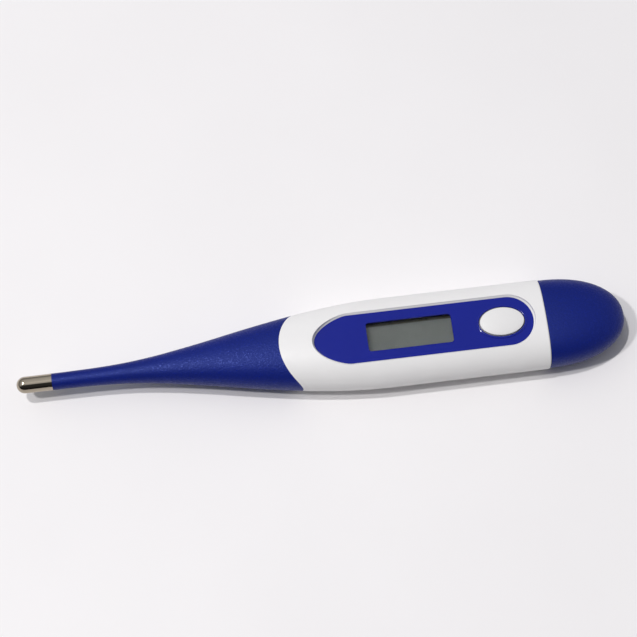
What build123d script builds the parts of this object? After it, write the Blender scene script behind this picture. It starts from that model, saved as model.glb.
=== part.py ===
from build123d import *
from math import sin, sqrt
import os

# Flexible-tip digital thermometer, in millimetres.
# +X runs along the thermometer from the sensor tip to the battery cover, +Z is the display side.
# "Station" means distance along the axis from the sensor tip; heights are counted from the axis.

LENGTH = 140.0
HALF_WIDTH = 10.63  # of the housing, in plan
HALF_THICK = 6.10  # of the housing, before the resting flat is taken off
AXIS_Z = 5.95  # height of the axis over the table
WALL = 1.3
GAP = 0.06  # sliding clearance between moulded pieces

CAP_END = 8.2  # sensor cap
CAP_R = 1.92
CAP_WALL = 0.2
BORE_R = 0.9  # wire bore of the soft stem
LEAD_R = 0.2
LEAD_Y = 0.42

HINGES = (15.0, 21.0, 27.0, 33.0)  # bending points of the soft stem
HINGE_GAPS = (0.36, 0.38, 0.44, 0.56)  # half of each slot between stem segments

NECK_START = 46.0  # stiff neck of the housing, inside the soft stem
SEAM_S = 60.25  # foremost point of the white housing
SEAM_R = 11.3
BARREL_S = 86.0  # from here back to the cover the housing keeps one section
COVER_S = 121.3  # seam between the housing and the battery cover

PANEL_S0, PANEL_S1 = 68.2, 118.5
PANEL_HALF = 5.87
PANEL_TOP = 4.78
PANEL_THICK = 0.55
PANEL_FIT = 0.02  # the panel is pressed and glued into its recess
LEDGE = 0.36  # width of the white slope that shows around the panel
LEDGE_Z = PANEL_TOP - 0.05
LEDGE_RISE = 0.36
LIP_R = 0.14  # rounding where the housing turns down to the slope
TAPE_THICK = 0.1
FLOOR_Z = PANEL_TOP - PANEL_THICK - TAPE_THICK  # floor of the recess in the housing
DECK_Z = 3.15  # underside of the deck below the recess

WINDOW_S = (80.35, 99.82)
WINDOW_HALF = 3.46
BUTTON_S = 111.24
BUTTON_A, BUTTON_B = 5.05, 3.35
BUTTON_RISE = 0.88  # crown of the button over the panel
BUTTON_EDGE = 0.34  # height of its rim over the panel
HOLE_GAP = 0.25
FLANGE_Z = (FLOOR_Z - 0.5, FLOOR_Z - 0.1)  # flange that keeps the button in
BEAD_WIDTH, BEAD_RISE = 0.5, 0.16  # raised bead of the panel around the button

PCB_TOP = -0.22
PCB_THICK = 0.8
LCD_TOP = 2.6
DOME_H = 0.5

CELL_S = 127.3  # coin cell
CELL_R, CELL_H = 3.95, 3.6
CELL_Z = -1.75

# station, half width, half thickness of the outer skin up to the cover seam
PROFILE = (
    (CAP_END, 1.92, 1.92),
    (14.0, 1.97, 1.97),
    (20.0, 2.12, 2.12),
    (26.0, 2.50, 2.45),
    (32.0, 3.20, 2.95),
    (38.0, 4.15, 3.60),
    (44.0, 5.22, 4.25),
    (50.0, 6.40, 4.85),
    (56.0, 7.52, 5.35),
    (62.0, 8.55, 5.72),
    (68.0, 9.42, 5.95),
    (74.0, 10.08, 6.06),
    (80.0, 10.50, HALF_THICK),
    (BARREL_S, HALF_WIDTH, HALF_THICK),
)


def place(s, y=0.0, z=0.0):
    return Pos(s - LENGTH / 2, y, AXIS_Z + z)


def section(s, half_w, half_t):
    """Closed outline across the axis: round on the thin stem, squarer towards the housing."""
    full = 0.5523 + 0.112 * min(max((s - 26) / 48, 0), 1)
    x = s - LENGTH / 2
    compass = ((1, 0), (0, 1), (-1, 0), (0, -1), (1, 0))
    quarters = []
    for (ay, az), (by, bz) in zip(compass, compass[1:]):
        corners = ((ay, az), (ay + full * by, az + full * bz), (by + full * ay, bz + full * az), (by, bz))
        quarters.append(Bezier(*[(x, half_w * y, AXIS_Z + half_t * z) for y, z in corners]))
    return Face(Wire(quarters))


def skin(inset=0.0, first=0.0):
    """The outer form of stem and housing, shrunk by inset, from station first onwards."""
    stations = [(s, w - inset, t - inset) for s, w, t in PROFILE if s >= first]
    barrel = section(BARREL_S, HALF_WIDTH - inset, HALF_THICK - inset)
    return loft([section(*station) for station in stations]) + extrude(barrel, COVER_S - BARREL_S, dir=(1, 0, 0))


def cover_form(inset, start, end):
    """Rounded end form of the battery cover, from the seam to near its tip."""
    full_w, full_t, depth = HALF_WIDTH - 0.18 - inset, HALF_THICK - 0.15 - inset, (end - start) / sin(1.5)
    faces = []
    for i in range(12):
        u = sin(i / 11 * 1.5)
        shrink = (1 - u**2.3) ** (1 / 2.1)
        faces.append(section(start + depth * u, full_w * shrink, full_t * shrink))
    return loft(faces)


def block(s0, s1, y0, y1, z0, z1):
    return place(s0, y0, z0) * Box(s1 - s0, y1 - y0, z1 - z0, align=(Align.MIN,) * 3)


def disc(s, y, radius, z0, z1):
    return place(s, y, z0) * Cylinder(radius, z1 - z0, align=(Align.CENTER, Align.CENTER, Align.MIN))


def rod(s0, s1, radius, y=0.0, z=0.0):
    bar = Cylinder(radius, s1 - s0, align=(Align.CENTER, Align.CENTER, Align.MIN))
    return place(s0, y, z) * Rot(0, 90, 0) * bar


def oval(s, a, b, z0, z1):
    return place(s, 0, z0) * extrude(Ellipse(a, b), z1 - z0)


def rounded_bar(s0, s1, half, radius, z0, z1, y=0.0):
    sketch = RectangleRounded(s1 - s0, 2 * half, radius)
    return place((s0 + s1) / 2, y, z0) * extrude(sketch, z1 - z0)


def barrel(inset, s0, s1, top):
    """A length of the constant housing section, shrunk by inset and cut off flat at height top."""
    bar = extrude(section(BARREL_S, HALF_WIDTH - inset, HALF_THICK - inset), s1 - s0, dir=(1, 0, 0))
    return Pos(s0 - BARREL_S, 0, 0) * bar & block(s0 - 1, s1 + 1, -12, 12, -8, top)


def panel_outline(grow=0.0):
    """Plan of the blue panel: bullet nose towards the tip, round towards the cover."""
    apex, half = PANEL_S0 - grow - LENGTH / 2, PANEL_HALF + grow
    shoulder, tail = 76.25 - LENGTH / 2, PANEL_S1 - PANEL_HALF - LENGTH / 2
    edges = [
        Bezier((apex, 0), (apex, 3.5 + grow), (shoulder - 1.75, half), (shoulder, half)),
        Line((shoulder, half), (tail, half)),
        ThreePointArc((tail, half), (tail + half, 0), (tail, -half)),
        Line((tail, -half), (shoulder, -half)),
        Bezier((shoulder, -half), (shoulder - 1.75, -half), (apex, -3.5 - grow), (apex, 0)),
    ]
    return make_face(edges)


def panel_form(z0, z1, grow=0.0):
    return Pos(0, 0, AXIS_Z + z0) * extrude(panel_outline(grow), z1 - z0)


def both_sides(shape):
    return shape + mirror(shape, Plane.XZ)


parts = {}

# ---------------------------------------------------------------- outer forms
outer = skin()
outer = fillet(outer.faces().sort_by(Axis.X)[-1].edges(), 0.35)
housing_zone = disc(SEAM_S + SEAM_R, 0, SEAM_R, -8, 8) + block(SEAM_S + SEAM_R, COVER_S, -14, 14, -8, 8)
neck = skin(1.6, 40) & block(NECK_START, 66, -12, 12, -8, 8)
neck_bore = skin(2.8, 40) & block(NECK_START - 1, 66.5, -12, 12, -8, 8)
inside = skin(WALL, 60) & block(64.5, COVER_S + 1, -12, 12, -8, DECK_Z)

# ---------------------------------------------------------------- white housing
housing = ((outer & housing_zone) + neck) - neck_bore - inside
housing -= panel_form(LEDGE_Z + LEDGE_RISE, 7, LEDGE)
lip = housing.edges().filter_by(
    lambda e: e.bounding_box().min.Z > AXIS_Z + LEDGE_Z + LEDGE_RISE + 0.02
    and e.bounding_box().max.X < PANEL_S1 + 1 - LENGTH / 2
    and abs(e.center().Y) < PANEL_HALF + 0.5
)
housing = fillet(lip, LIP_R)
slope = [Pos(0, 0, AXIS_Z + LEDGE_Z) * panel_outline(PANEL_FIT)]
slope += [Pos(0, 0, AXIS_Z + LEDGE_Z + LEDGE_RISE) * panel_outline(LEDGE)]
housing -= loft(slope, ruled=True)
housing -= panel_form(FLOOR_Z, 7, PANEL_FIT)
housing -= rounded_bar(77.6, 102.6, 5.3, 0.6, 3, 5)  # display opening in the deck
housing -= oval(BUTTON_S, BUTTON_A + 0.9, BUTTON_B + 0.9, 3, 5)
buzzer_seat = disc(88, 0, 5.2, -5.6, -3.9) - disc(88, 0, 4.4, -5.7, -3.8)
housing += buzzer_seat & skin(0.6, 60)
rail = block(72, 114.5, 7.0, 8.0, -5.0, -3.3) & skin(0.6, 60)
housing += both_sides(rail)
housing -= block(40, 130, -12, 12, -AXIS_Z - 2, -AXIS_Z)  # flat that the thermometer rests on
parts["housing"] = housing

# ---------------------------------------------------------------- soft stem, cut at its bending points
sleeve = outer - housing_zone - neck - rod(5, 70, BORE_R)
spigot = rod(4.6, CAP_END + 0.5, CAP_R - CAP_WALL) - rod(4, 10, BORE_R)
cuts = [0.0, *HINGES, 75.0]
gaps = [0.0, *HINGE_GAPS, 0.0]
names = ("tip", "lower", "middle", "upper", "root")
for i, name in enumerate(names):
    s0, s1 = cuts[i] + gaps[i], cuts[i + 1] - gaps[i + 1]
    segment = sleeve & block(s0, s1, -12, 12, -8, 8)
    if name == "tip":
        segment += spigot
    parts[f"stem_{name}"] = segment
    lead_start, lead_end = max(s0, 2.6), min(s1, 71.5)
    parts[f"leads_{name}"] = both_sides(rod(lead_start, lead_end, LEAD_R, LEAD_Y))

# ---------------------------------------------------------------- sensor tip
thimble = rod(CAP_R, CAP_END, CAP_R) + place(CAP_R) * Sphere(CAP_R)
hollow = rod(CAP_R, CAP_END + 1, CAP_R - CAP_WALL) + place(CAP_R) * Sphere(CAP_R - CAP_WALL)
rim = rod(CAP_END - 0.35, CAP_END, CAP_R + 0.05) - rod(CAP_END - 1, CAP_END + 1, CAP_R - CAP_WALL)
parts["sensor_cap"] = (thimble - hollow) + rim
sensor = rod(1.45, 2.35, 0.62) + place(1.45) * Sphere(0.62) + place(2.35) * Sphere(0.62)
parts["thermistor"] = sensor
filling = (hollow & block(0, 4.6, -3, 3, -3, 3)) - sensor - parts["leads_tip"]
parts["thermal_potting"] = filling
parts["leads_tip"] -= sensor

# ---------------------------------------------------------------- display panel and window
hole_a, hole_b = BUTTON_A + HOLE_GAP, BUTTON_B + HOLE_GAP
button_hole = oval(BUTTON_S, hole_a, hole_b, 3, 7)
window = rounded_bar(*WINDOW_S, WINDOW_HALF, 0.7, 3, 7)
panel = panel_form(PANEL_TOP - PANEL_THICK, PANEL_TOP)
panel = fillet(panel.faces().sort_by(Axis.Z)[-1].edges(), 0.06)
bead = oval(BUTTON_S, hole_a + BEAD_WIDTH, hole_b + BEAD_WIDTH, PANEL_TOP - 0.1, PANEL_TOP + BEAD_RISE) - button_hole
bead = fillet(bead.faces().sort_by(Axis.Z)[-1].edges(), BEAD_RISE - 0.01)
panel = (panel - window - button_hole) + bead
parts["display_panel"] = panel
tape_holes = rounded_bar(79.9, 100.3, 3.9, 0.7, 3, 7) + oval(BUTTON_S, BUTTON_A + 0.9, BUTTON_B + 0.9, 3, 7)
parts["panel_tape"] = panel_form(FLOOR_Z, FLOOR_Z + TAPE_THICK) - tape_holes
parts["display_lens"] = rounded_bar(77.7, 102.5, 5.2, 0.5, 3.5, FLOOR_Z)

# ---------------------------------------------------------------- button
spread = 1.2  # the crown is the middle of an ellipsoid this much wider than the button
dome_c = (BUTTON_RISE - BUTTON_EDGE) / (1 - sqrt(1 - spread**-2))
ball = scale(Sphere(1), (spread * BUTTON_A, spread * BUTTON_B, dome_c))
crown = oval(BUTTON_S, BUTTON_A, BUTTON_B, FLANGE_Z[0], 7) & place(BUTTON_S, 0, PANEL_TOP + BUTTON_RISE - dome_c) * ball
rim_edges = crown.edges().filter_by(
    lambda e: e.bounding_box().size.Y > 1 and e.bounding_box().min.Z > AXIS_Z + PANEL_TOP
)
crown = fillet(rim_edges, 0.14) + oval(BUTTON_S, BUTTON_A, BUTTON_B, FLANGE_Z[0], PANEL_TOP)
flange = oval(BUTTON_S, BUTTON_A + 0.7, BUTTON_B + 0.7, *FLANGE_Z)
plunger_end = PCB_TOP + DOME_H + 0.03
parts["button_cap"] = crown + flange + disc(BUTTON_S, 0, 1.2, plunger_end, FLANGE_Z[1])
seal = oval(BUTTON_S, BUTTON_A + 1.4, BUTTON_B + 1.5, DECK_Z - 0.4, DECK_Z)
parts["button_seal"] = seal - disc(BUTTON_S, 0, 1.2 + GAP, 0, 5)
dome = place(BUTTON_S, 0, PCB_TOP) * (Cylinder(2.6, DOME_H, align=(Align.CENTER, Align.CENTER, Align.MIN)))
dome = fillet(dome.faces().sort_by(Axis.Z)[-1].edges(), 0.45)
dome -= disc(BUTTON_S, 0, 1.9, PCB_TOP - 0.1, PCB_TOP + 0.3)
parts["snap_dome"] = dome

# ---------------------------------------------------------------- liquid crystal display
front_glass = block(79.0, 101.2, -4.9, 4.7, LCD_TOP - 0.70, LCD_TOP - 0.15)
rear_glass = block(79.0, 101.2, -3.7, 4.7, LCD_TOP - 1.25, LCD_TOP - 0.70)
parts["lcd_polariser"] = block(79.1, 100.8, -3.9, 3.1, LCD_TOP - 0.15, LCD_TOP)
parts["lcd_glass"] = front_glass + rear_glass
parts["lcd_reflector"] = block(79.4, 100.8, -3.4, 4.3, LCD_TOP - 1.40, LCD_TOP - 1.25)
parts["zebra_strip"] = block(80.2, 100.0, -4.8, -3.9, PCB_TOP, LCD_TOP - 0.70)
frame_body = rounded_bar(77.4, 102.8, 6.3, 0.8, PCB_TOP, 2.9)
frame_body -= block(78.94, 101.26, -4.96, 4.76, PCB_TOP - 1, 4)
ledge = block(78.9, 101.3, 4.0, 4.8, PCB_TOP, LCD_TOP - 1.5)
parts["lcd_frame"] = frame_body + ledge

# ---------------------------------------------------------------- circuit board and what is on it
board = rounded_bar(68.0, 118.0, 7.4, 1.2, PCB_TOP - PCB_THICK, PCB_TOP)
board -= both_sides(block(114.5, 119, 6.0, 8, -3, 3))
for s, y in ((74.0, 5.4), (106.5, -6.0)):
    board -= disc(s, y, 0.75, -3, 3)
parts["circuit_board"] = board
under = PCB_TOP - PCB_THICK
blob = disc(96.0, 0, 3.2, under - 1.0, under)
parts["chip_blob"] = fillet(blob.faces().sort_by(Axis.Z)[0].edges(), 0.85)
chips = [
    block(s, s + 1.6, y, y + 0.8, under - 0.55, under)
    for s, y in ((72, 2.6), (72, 4.4), (76, -4.2), (80, 3.4), (102, 3.0), (102, -3.8), (106, 2.4), (109, -2.2))
]
parts["chip_components"] = Compound(children=chips)
pads = [
    place(s, y, PCB_TOP) * (Sphere(0.34) & Pos(0, 0, 0.5) * Box(2, 2, 1))
    for s, y in ((72.0, LEAD_Y), (72.0, -LEAD_Y), (116.6, 2.8), (116.6, -2.8))
]
parts["solder_joints"] = Compound(children=[pad - parts["leads_root"] for pad in pads])

# ---------------------------------------------------------------- buzzer
parts["buzzer_plate"] = disc(88, 0, 5.0, -3.9, -3.7)
parts["buzzer_ceramic"] = disc(88, 0, 3.4, -3.7, -3.5)
buzzer_pins = [disc(s, 0, 0.25, -3.5 if s < 90 else -3.7, under) for s in (86.6, 92.0)]
parts["buzzer_wires"] = Compound(children=buzzer_pins)

# ---------------------------------------------------------------- chassis with the battery pocket
side = block(71, 114, 5.9, 6.9, -2.6, under)
floor = block(113, 132, -4.9, 4.9, -3.0, -2.15)
bridges = block(71, 73, -6.9, 6.9, -2.6, -1.7) + block(112, 114, -6.9, 6.9, -3.0, -1.7)
walls = both_sides(block(119.5, 132, CELL_R + 0.1, 4.9, -3.0, 1.4))
front_stop = block(119.5, 122.6, -4.9, 4.9, -3.0, 1.4) - block(119, 123, -1.2, 1.2, -2.3, 2)
chassis = both_sides(side) + bridges + floor + walls + front_stop
parts["chassis"] = chassis

# ---------------------------------------------------------------- battery contacts and cell
leaf = block(115.8, 129.5, -1.0, 1.0, -2.15, -1.97) + block(115.8, 117.2, -1.0, 1.0, -2.1, under)
bump = place(CELL_S, 0, -1.97) * (Sphere(0.7) & Pos(0, 0, 0.5) * Box(2, 2, 1))
bump = bump & block(120, 135, -2, 2, -2.1, CELL_Z - 0.02)
parts["contact_negative"] = leaf + bump
cell_top = CELL_Z + CELL_H
strap = block(116.0, 128.5, -0.9, 0.9, cell_top + 0.05, cell_top + 0.25)
parts["contact_positive"] = strap + block(116.0, 117.4, -0.9, 0.9, PCB_TOP, cell_top + 0.1)
can = disc(CELL_S, 0, CELL_R, CELL_Z + 0.35, cell_top)
can = fillet(can.faces().sort_by(Axis.Z)[-1].edges(), 0.4)
ring_z = CELL_Z + 0.35
parts["button_cell"] = can + disc(CELL_S, 0, 3.0, CELL_Z, ring_z + 0.1)
parts["cell_gasket"] = disc(CELL_S, 0, 3.3, CELL_Z + 0.15, ring_z) - disc(CELL_S, 0, 3.0, CELL_Z - 1, 5)

# ---------------------------------------------------------------- battery cover
shell = cover_form(0, COVER_S + 0.04, LENGTH)
shell = fillet(shell.faces().sort_by(Axis.X)[0].edges(), 0.2)
shell -= cover_form(WALL, COVER_S - 1, LENGTH - WALL) & block(COVER_S + 1.2, LENGTH, -12, 12, -8, 8)
plug_outer = barrel(WALL + GAP, 117.9, COVER_S + 0.5, DECK_Z - GAP)
plug_inner = barrel(WALL + 1.1, 116, COVER_S + 1.5, DECK_Z - GAP - 0.9)
groove_s0, groove_s1, ring_top = 118.9, 120.1, DECK_Z - GAP - 0.04
keep = barrel(WALL + 0.55, 118, 121, ring_top - 0.45)
groove = block(groove_s0, groove_s1, -12, 12, -8, 8) - keep
parts["battery_cover"] = (shell + (plug_outer - groove)) - plug_inner
parts["cover_seal"] = barrel(WALL + GAP + 0.04, groove_s0 + 0.05, groove_s1 - 0.05, ring_top) - keep

# ---------------------------------------------------------------- write one file per piece
os.makedirs("parts", exist_ok=True)
for name, shape in parts.items():
    export_step(shape, f"parts/{name}.step")
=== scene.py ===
import math

import bmesh
import bpy
from mathutils import Matrix, Vector


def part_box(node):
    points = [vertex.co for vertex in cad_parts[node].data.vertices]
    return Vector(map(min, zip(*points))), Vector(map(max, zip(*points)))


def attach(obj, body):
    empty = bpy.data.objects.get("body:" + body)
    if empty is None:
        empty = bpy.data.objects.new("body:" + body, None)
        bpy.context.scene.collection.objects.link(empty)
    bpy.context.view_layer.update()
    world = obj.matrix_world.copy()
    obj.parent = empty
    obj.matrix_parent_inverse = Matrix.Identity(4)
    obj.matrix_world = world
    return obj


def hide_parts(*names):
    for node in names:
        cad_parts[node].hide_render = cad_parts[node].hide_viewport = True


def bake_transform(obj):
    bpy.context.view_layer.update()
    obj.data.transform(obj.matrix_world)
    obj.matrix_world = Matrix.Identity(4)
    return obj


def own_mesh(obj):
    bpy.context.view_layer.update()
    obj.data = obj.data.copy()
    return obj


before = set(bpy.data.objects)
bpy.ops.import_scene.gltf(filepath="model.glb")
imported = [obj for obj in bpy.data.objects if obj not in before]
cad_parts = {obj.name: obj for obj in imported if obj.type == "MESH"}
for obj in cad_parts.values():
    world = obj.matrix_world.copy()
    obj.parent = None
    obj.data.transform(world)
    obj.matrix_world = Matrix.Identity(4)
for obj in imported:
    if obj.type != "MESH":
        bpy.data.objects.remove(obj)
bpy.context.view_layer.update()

# Stations are millimetres along the axis from the sensor tip, as in the CAD source.
MM = 0.001
LENGTH, AXIS_Z = 140.0, 5.95
CAP_END, BARREL_S = 8.2, 86.0
SEAM_S, SEAM_R = 60.25, 11.3
HALF_W, HALF_T = 10.63, 6.10
RING_STEP = 0.4  # length of sleeve between two rings of vertices
ROUND = 0.5523  # handle of a Bezier quarter that makes it a circle
# station, half width, half thickness
PROFILE = (
    (CAP_END, 1.92, 1.92), (14.0, 1.97, 1.97), (20.0, 2.12, 2.12), (26.0, 2.50, 2.45),
    (32.0, 3.20, 2.95), (38.0, 4.15, 3.60), (44.0, 5.22, 4.25), (50.0, 6.40, 4.85),
    (56.0, 7.52, 5.35), (62.0, 8.55, 5.72), (68.0, 9.42, 5.95), (74.0, 10.08, 6.06),
    (80.0, 10.50, HALF_T), (BARREL_S, HALF_W, HALF_T),
)


# ------------------------------------------------------------------ node helpers
class Look:
    """A Principled BSDF material with short helpers for its node tree."""

    def __init__(self, name, rough=0.5, **sockets):
        self.mat = bpy.data.materials.new(name)
        self.mat.use_nodes = True
        self.tree = self.mat.node_tree
        self.shader = self.tree.nodes["Principled BSDF"]
        self.shader.inputs["Roughness"].default_value = rough
        for key, value in sockets.items():
            self.shader.inputs[key.replace("_", " ")].default_value = value
        self.coords = self.node("ShaderNodeTexCoord").outputs["Object"]

    def node(self, kind, **props):
        made = self.tree.nodes.new(kind)
        for key, value in props.items():
            setattr(made, key, value)
        return made

    def link(self, a, b):
        self.tree.links.new(a, b)

    def stretched(self, scale):
        mapping = self.node("ShaderNodeMapping")
        mapping.inputs["Scale"].default_value = scale
        self.link(self.coords, mapping.inputs["Vector"])
        return mapping.outputs["Vector"]

    def noise(self, scale, detail=4.0, rough=0.5, stretch=None):
        made = self.node("ShaderNodeTexNoise")
        made.inputs["Scale"].default_value = scale
        made.inputs["Detail"].default_value = detail
        made.inputs["Roughness"].default_value = rough
        self.link(self.stretched(stretch) if stretch else self.coords, made.inputs["Vector"])
        return made.outputs["Fac"]

    def voronoi(self, scale):
        made = self.node("ShaderNodeTexVoronoi")
        made.inputs["Scale"].default_value = scale
        self.link(self.coords, made.inputs["Vector"])
        return made.outputs["Distance"]

    def ramp(self, source, stops):
        made = self.node("ShaderNodeValToRGB")
        elements = made.color_ramp.elements
        while len(elements) < len(stops):
            elements.new(0.5)
        for element, (at, color) in zip(elements, stops):
            element.position = at
            element.color = color if len(color) == 4 else (*color, 1.0)
        self.link(source, made.inputs["Fac"])
        return made.outputs["Color"]

    def spread(self, source, low, high, a=0.35, b=0.65):
        made = self.node("ShaderNodeMapRange")
        for key, value in (("From Min", a), ("From Max", b), ("To Min", low), ("To Max", high)):
            made.inputs[key].default_value = value
        self.link(source, made.inputs["Value"])
        return made.outputs["Result"]

    def mix(self, factor, a, b):
        made = self.node("ShaderNodeMix", data_type="RGBA")
        if isinstance(factor, float):
            made.inputs[0].default_value = factor
        else:
            self.link(factor, made.inputs[0])
        for socket, value in ((made.inputs[6], a), (made.inputs[7], b)):
            if isinstance(value, tuple):
                socket.default_value = (*value, 1.0)
            else:
                self.link(value, socket)
        return made.outputs[2]

    def bump(self, *layers):
        """Layers are (height socket, distance in metres, strength)."""
        normal = None
        for height, distance, strength in layers:
            made = self.node("ShaderNodeBump")
            made.inputs["Distance"].default_value = distance
            made.inputs["Strength"].default_value = strength
            self.link(height, made.inputs["Height"])
            if normal is not None:
                self.link(normal, made.inputs["Normal"])
            normal = made.outputs["Normal"]
        self.link(normal, self.shader.inputs["Normal"])

    def drive(self, socket, source):
        self.link(source, self.shader.inputs[socket])


def srgb(r, g, b):
    """Linear colour from 0-255 display values."""
    return tuple(((c / 255 + 0.055) / 1.055) ** 2.4 if c > 10 else c / 255 / 12.92 for c in (r, g, b))


def plastic(name, color, rough, grain=0.0, grain_scale=3000.0, shade=0.04, scuff=0.05, **sockets):
    """Moulded plastic: faint mottling, uneven gloss, fine moulded grain and a few hairline scuffs."""
    look = Look(name, rough, **sockets)
    dark = tuple(c * (1 - shade) for c in color)
    light = tuple(min(1.0, c * (1 + shade)) for c in color)
    cloud = look.noise(160.0, 5.0)
    look.drive("Base Color", look.ramp(cloud, [(0.3, dark), (0.7, light)]))
    gloss = look.noise(900.0, 3.0)
    look.drive("Roughness", look.spread(gloss, rough * 0.88, rough * 1.12))
    scuffs = look.noise(700.0, 2.0, stretch=(0.15, 1.0, 1.0))
    fine = look.noise(grain_scale, 3.0, 0.6)
    look.bump((scuffs, 0.00001, scuff), (fine, 0.00004, max(grain, 0.02)))
    return look


def rubber(name, color, rough=0.5, shine=1.0, tint=(0.3, 0.4, 1.0), grain=2700.0):
    """Soft matte elastomer with a fine spark-eroded texture whose tops catch the light. The lighter colour mixed onto
    the grain tops is a painted glint.
    """
    look = Look(name, rough, IOR=1.38, Specular_IOR_Level=shine, Specular_Tint=(*tint, 1.0))
    cloud = look.noise(110.0, 5.0)
    speckle = look.noise(grain, 3.0, 0.65)
    base = look.ramp(cloud, [(0.3, tuple(c * 0.95 for c in color)), (0.7, tuple(c * 1.05 for c in color))])
    # Painted glint: the grain tops get a lighter base colour, on top of their lower roughness.
    painted_glint = tuple(min(1.0, c * 1.7 + 0.006) for c in color)
    look.drive("Base Color", look.mix(look.spread(speckle, 0.0, 0.8, 0.52, 0.72), base, painted_glint))
    look.drive("Roughness", look.spread(speckle, rough + 0.04, rough - 0.3, 0.5, 0.7))
    look.bump((speckle, 0.00016, 0.5), (look.voronoi(grain * 0.7), 0.00008, 0.3))
    return look


def metal(name, color, rough, stretch=(1.0, 1.0, 1.0), scale=1500.0, marking=0.12):
    """Drawn or rolled metal: fine directional marks and patchy tarnish."""
    look = Look(name, rough, Metallic=1.0)
    stain = look.noise(300.0, 4.0)
    look.drive("Base Color", look.ramp(stain, [(0.3, tuple(c * 0.88 for c in color)), (0.7, color)]))
    marks = look.noise(scale, 4.0, 0.6, stretch)
    look.drive("Roughness", look.spread(marks, rough * 0.75, rough * 1.3))
    look.bump((marks, 0.00001, marking))
    return look


def clear(name, tint, rough=0.03):
    look = Look(name, rough, IOR=1.49)
    look.shader.inputs["Transmission Weight"].default_value = 1.0
    haze = look.noise(500.0, 3.0)
    look.drive("Base Color", look.ramp(haze, [(0.3, tint), (0.7, tuple(min(1.0, c * 1.02) for c in tint))]))
    look.drive("Roughness", look.spread(haze, rough, rough + 0.03))
    look.bump((haze, 0.000005, 0.05))
    return look


# ------------------------------------------------------------------ the stem's outer form
def slopes(points):
    """Slope at each point of a smooth run through them."""
    found = []
    for i in range(len(points)):
        a, b = points[max(i - 1, 0)], points[min(i + 1, len(points) - 1)]
        found.append([(b[k] - a[k]) / (b[0] - a[0]) for k in (1, 2)])
    found[0], found[-1] = [0.0, 0.0], [0.0, 0.0]
    return found


SLOPES = slopes(PROFILE)


def girth(s):
    """Half width and half thickness of the skin at a station, in millimetres."""
    if s >= BARREL_S:
        return HALF_W, HALF_T
    s = max(s, PROFILE[0][0])
    i = max(k for k, p in enumerate(PROFILE[:-1]) if p[0] <= s)
    p, q = PROFILE[i], PROFILE[i + 1]
    h = q[0] - p[0]
    u = (s - p[0]) / h
    blend = [2 * u**3 - 3 * u**2 + 1, u**3 - 2 * u**2 + u, 3 * u**2 - 2 * u**3, u**3 - u**2]
    return tuple(
        blend[0] * p[k] + blend[1] * h * SLOPES[i][k - 1] + blend[2] * q[k] + blend[3] * h * SLOPES[i + 1][k - 1]
        for k in (1, 2)
    )


def rim(s, a, inset=0.0):
    """Point of the skin's section at a station, a from 0 to 4 quarter turns. It squares up towards the housing."""
    full = ROUND + 0.112 * min(max((s - 26) / 48, 0), 1)
    quarter, t = int(a) % 4, a - int(a)
    compass = ((1, 0), (0, 1), (-1, 0), (0, -1))
    (ay, az), (by, bz) = compass[quarter], compass[(quarter + 1) % 4]
    mix = ((1 - t) ** 3, 3 * t * (1 - t) ** 2, 3 * t * t * (1 - t), t**3)
    corners = ((ay, az), (ay + full * by, az + full * bz), (by + full * ay, bz + full * az), (by, bz))
    w, t_half = girth(s)
    y = sum(m * c[0] for m, c in zip(mix, corners)) * (w - inset)
    z = sum(m * c[1] for m, c in zip(mix, corners)) * (t_half - inset)
    return Vector(((s - LENGTH / 2) * MM, y * MM, (AXIS_Z + z) * MM))


def seam_station(y):
    """Where the white housing starts, at a distance y from the centre line."""
    return SEAM_S + SEAM_R - math.sqrt(SEAM_R**2 - y**2)


def seam_at(a):
    s = SEAM_S
    for _ in range(12):
        s = seam_station(rim(s, a).y / MM)
    return s


def loft_rings(name, rings, closed_ends=(False, False)):
    mesh = bpy.data.meshes.new(name)
    count = len(rings[0])
    verts = [v for ring in rings for v in ring]
    faces = [
        (r * count + i, r * count + (i + 1) % count, (r + 1) * count + (i + 1) % count, (r + 1) * count + i)
        for r in range(len(rings) - 1)
        for i in range(count)
    ]
    mesh.from_pydata(verts, [], faces)
    bm = bmesh.new()
    bm.from_mesh(mesh)
    bm.verts.ensure_lookup_table()
    for end, closed in zip((0, len(rings) - 1), closed_ends):
        if closed:
            bm.faces.new([bm.verts[end * count + i] for i in range(count)])
    bmesh.ops.recalc_face_normals(bm, faces=bm.faces)
    bm.to_mesh(mesh)
    bm.free()
    for polygon in mesh.polygons:
        polygon.use_smooth = True
    made = bpy.data.objects.new(name, mesh)
    bpy.context.scene.collection.objects.link(made)
    return made


def stem_piece(name, s0, s1, to_seam=False, around=96):
    """A length of the soft stem, from ring s0 to ring s1 or to the curved seam with the housing."""
    turns = [4 * i / around for i in range(around)]
    steps = max(4, round((s1 - s0) / RING_STEP))
    ends = [seam_at(a) if to_seam else s1 for a in turns]
    rings = []
    for r in range(steps + 1):
        u = r / steps
        rings.append([rim(s0 + (end - s0) * u, a) for a, end in zip(turns, ends)])
    return loft_rings(name, rings)


# ------------------------------------------------------------------ materials
BLUE = srgb(5, 22, 106)
PANEL = srgb(20, 32, 136)

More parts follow.
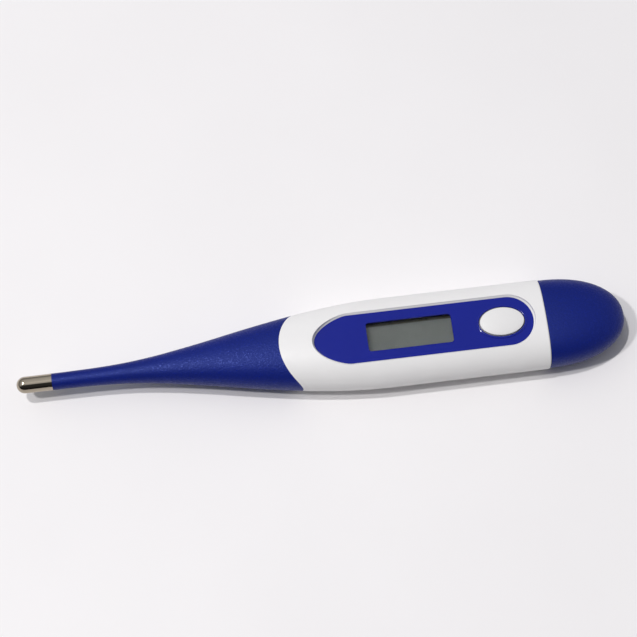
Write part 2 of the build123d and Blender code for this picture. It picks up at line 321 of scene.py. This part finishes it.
stem_look = rubber("soft_blue_stem", BLUE)
cover_look = rubber("grained_blue_cover", srgb(5, 22, 105), 0.5)
white_look = plastic("white_shell", srgb(234, 233, 233), 0.42, grain=0.05, shade=0.012, Specular_IOR_Level=0.4)
white_look.shader.inputs["Coat Weight"].default_value = 0.15
white_look.shader.inputs["Coat Roughness"].default_value = 0.2
panel_look = plastic(
    "satin_blue_panel", PANEL, 0.15, grain=0.01, grain_scale=5000.0, shade=0.03, scuff=0.01, Specular_IOR_Level=0.45
)
button_look = plastic("white_button", srgb(229, 228, 228), 0.5, grain=0.04, shade=0.01, Specular_IOR_Level=0.3)
cap_look = metal("nickel_cap", srgb(178, 167, 150), 0.07, (0.4, 5.0, 5.0), 900.0, 0.02)
window_look = clear("clear_window", (0.97, 0.98, 0.97))
film_look = plastic("lcd_film", srgb(116, 120, 118), 0.38, grain=0.03, shade=0.07)
steel_look = metal("spring_steel", srgb(190, 190, 192), 0.25, (1.0, 6.0, 1.0))
cell_look = metal("cell_can", srgb(198, 198, 200), 0.2, (6.0, 6.0, 0.6))
black_look = plastic("black_plastic", srgb(32, 32, 34), 0.45, grain=0.08)
board_look = plastic("board_green", srgb(20, 92, 52), 0.35, grain=0.05, shade=0.1)
seal_look = rubber("seal_rubber", srgb(34, 34, 36), 0.4, 0.4, (1.0, 1.0, 1.0))
chassis_look = plastic("chassis_plastic", srgb(205, 205, 200), 0.45, grain=0.06)
ring_look = plastic("cell_ring", srgb(36, 36, 38), 0.5, grain=0.05)

NODE_LOOKS = {
    "housing": white_look,
    "display_panel": panel_look,
    "button_cap": button_look,
    "sensor_cap": cap_look,
    "battery_cover": cover_look,
    "cover_seal": seal_look,
    "display_lens": window_look,
    "lcd_polariser": film_look,
    # Painted shade: the LCD glass is dark olive, far darker than the film, for the strip under the window's far edge
    # where it shows past the film.
    "lcd_glass": plastic("lcd_glass", srgb(72, 70, 58), 0.3, shade=0.06),
    "lcd_reflector": metal("lcd_reflector", srgb(170, 172, 165), 0.35),
    "lcd_frame": black_look,
    "panel_tape": black_look,
    "zebra_strip": plastic("zebra_rubber", srgb(120, 112, 105), 0.5, grain=0.1),
    "circuit_board": board_look,
    "chip_blob": plastic("black_epoxy", srgb(18, 18, 18), 0.2, grain=0.04),
    "chip_components": plastic("chip_ceramic", srgb(130, 106, 80), 0.4, grain=0.05),
    "solder_joints": metal("solder", srgb(200, 200, 202), 0.18),
    "button_seal": plastic("clear_silicone", srgb(205, 205, 200), 0.4, grain=0.03),
    "snap_dome": steel_look,
    "contact_negative": steel_look,
    "contact_positive": steel_look,
    "buzzer_plate": metal("brass_plate", srgb(200, 166, 96), 0.25),
    "buzzer_ceramic": plastic("piezo_ceramic", srgb(214, 210, 196), 0.45, grain=0.05),
    "buzzer_wires": plastic("wire_red", srgb(170, 38, 30), 0.35, grain=0.03),
    "chassis": chassis_look,
    "button_cell": cell_look,
    "cell_gasket": ring_look,
    "thermistor": plastic("glass_bead", srgb(96, 40, 26), 0.1, shade=0.1),
    "thermal_potting": plastic("potting", srgb(60, 52, 44), 0.35, grain=0.05),
}
for length in ("tip", "lower", "middle", "upper", "root"):
    NODE_LOOKS[f"leads_{length}"] = NODE_LOOKS["buzzer_wires"]
for name, look in NODE_LOOKS.items():
    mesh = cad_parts[name].data
    mesh.materials.clear()
    mesh.materials.append(look.mat)

# ------------------------------------------------------------------ the soft stem, in lengths from the sensor cap to the housing
BREAKS = (12.0, 18.0, 24.0, 30.0, 37.0)  # stations where one length of the sleeve ends and the next starts
tip_piece = stem_piece("stem_sleeve_tip", CAP_END, BREAKS[0])
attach(tip_piece, "sensor_link")
root_piece = stem_piece("stem_sleeve_root", BREAKS[-1], SEAM_S, to_seam=True)
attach(root_piece, "thermometer")
flexing = []
for i, (s0, s1) in enumerate(zip(BREAKS, BREAKS[1:])):
    piece = stem_piece(f"stem_sleeve_bend_{i + 1}", s0, s1)
    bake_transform(piece)
    flexing.append(piece)
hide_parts("stem_tip")
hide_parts("stem_root")
for piece, node in zip(flexing, ("stem_lower", "stem_middle", "stem_upper", "stem_upper")):
    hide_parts(node)
for piece in (tip_piece, root_piece, *flexing):
    piece.data.materials.append(stem_look.mat)

# ------------------------------------------------------------------ the dome under the button, which snaps flat
low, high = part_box("snap_dome")
around = 48
base = Vector(((low[0] + high[0]) / 2, (low[1] + high[1]) / 2, low[2]))
# radius and height of the sheet, down its inside and back up over its outside
sheet = [(r, 0.42 * (1 - (r / 2.52) ** 2)) for r in (0.1, 0.5, 0.9, 1.3, 1.7, 2.1, 2.4, 2.52)]
sheet += [(r, 0.49 * (1 - (r / 2.6) ** 2)) for r in (2.6, 2.48, 2.15, 1.75, 1.35, 0.95, 0.5, 0.1)]
rings = []
for radius, height in sheet:
    turns = [math.tau * i / around for i in range(around)]
    rings.append([base + Vector((radius * math.cos(t), radius * math.sin(t), height)) * MM for t in turns])
dome_piece = loft_rings("snap_dome_sheet", rings, (True, True))
dome_piece.data.materials.append(steel_look.mat)
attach(dome_piece, "thermometer")
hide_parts("snap_dome")
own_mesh(dome_piece)

# ------------------------------------------------------------------ floor
bpy.ops.mesh.primitive_plane_add(size=3.0, location=(0, 0, 0))
floor = bpy.context.object
floor.name = "table_top"
floor_look = Look("pale_table", 0.6)
floor_cloud = floor_look.noise(18.0, 5.0)
floor_look.drive("Base Color", floor_look.ramp(floor_cloud, [(0.3, srgb(238, 236, 237)), (0.7, srgb(241, 239, 240))]))
floor.data.materials.append(floor_look.mat)

# ------------------------------------------------------------------ light
def gradient(tree, direction, low, high, at_low, at_high):
    """A value of the world that rises smoothly along a direction."""
    coords = tree.nodes.new("ShaderNodeTexCoord")
    dot = tree.nodes.new("ShaderNodeVectorMath")
    dot.operation = "DOT_PRODUCT"
    dot.inputs[1].default_value = direction
    tree.links.new(coords.outputs["Generated"], dot.inputs[0])
    made = tree.nodes.new("ShaderNodeMapRange")
    made.interpolation_type = "SMOOTHSTEP"
    for key, value in (("From Min", low), ("From Max", high), ("To Min", at_low), ("To Max", at_high)):
        made.inputs[key].default_value = value
    tree.links.new(dot.outputs["Value"], made.inputs["Value"])
    return made.outputs["Result"]


# The room is bright behind the object and to its left, and dark where the viewer stands.
world = bpy.data.worlds.new("studio")
bpy.context.scene.world = world
world.use_nodes = True
background = world.node_tree.nodes["Background"]
background.inputs["Color"].default_value = (0.95, 0.965, 1.0, 1.0)
strength = gradient(world.node_tree, (-1, 0, 0), -0.06, 0.12, 0.26, 0.78)
for operation, towards, low, high, start, end in (
    ("MULTIPLY", (0, 1, 0), -0.44, -0.22, 0.07, 1.0),
    ("MULTIPLY", (0, 0, 1), 0.0, 0.9, 0.3, 1.0),
    ("ADD", (1, 0, 0), 0.3, 0.8, 0.0, 0.32),
):
    combined = world.node_tree.nodes.new("ShaderNodeMath")
    combined.operation = operation
    world.node_tree.links.new(strength, combined.inputs[0])
    world.node_tree.links.new(gradient(world.node_tree, towards, low, high, start, end), combined.inputs[1])
    strength = combined.outputs[0]
world.node_tree.links.new(strength, background.inputs["Strength"])


def lamp(name, location, size, power, color=(1, 1, 1)):
    """A round lamp that faces the object."""
    light = bpy.data.lights.new(name, "AREA")
    light.shape = "DISK"
    light.size = size
    light.energy = power
    light.color = color
    made = bpy.data.objects.new(name, light)
    made.location = location
    made.rotation_euler = (-Vector(location)).to_track_quat("-Z", "Y").to_euler()
    bpy.context.scene.collection.objects.link(made)


lamp("ceiling_lamp", (-0.42, 0.14, 1.6), 0.07, 10.4, (1.0, 0.985, 0.98))
lamp("left_lamp", (-0.72, -0.10, 1.25), 0.09, 6.9, (1.0, 0.985, 0.98))

# ------------------------------------------------------------------ camera
ELEVATION, AZIMUTH, ROLL = math.radians(69.32), math.radians(-6.39), math.radians(-0.73)
DISTANCE = 0.4
back = Vector((
    math.sin(AZIMUTH) * math.cos(ELEVATION), -math.cos(AZIMUTH) * math.cos(ELEVATION), math.sin(ELEVATION),
))
right = Vector((math.cos(AZIMUTH), math.sin(AZIMUTH), 0))
up = back.cross(right)
right_rolled = right * math.cos(ROLL) + up * math.sin(ROLL)
up_rolled = up * math.cos(ROLL) - right * math.sin(ROLL)
camera_data = bpy.data.cameras.new("camera")
camera_data.lens, camera_data.sensor_width = 98.7, 36.0
camera_data.shift_x, camera_data.shift_y = -0.0055, 0.0497
camera_data.clip_start = 0.01
camera = bpy.data.objects.new("camera", camera_data)
axes = Matrix((right_rolled, up_rolled, back)).transposed()
camera.matrix_world = Matrix.Translation(Vector((0, 0, AXIS_Z * MM)) + back * DISTANCE) @ axes.to_4x4()
bpy.context.scene.collection.objects.link(camera)
bpy.context.scene.camera = camera
bpy.context.scene.view_settings.view_transform = "Standard"
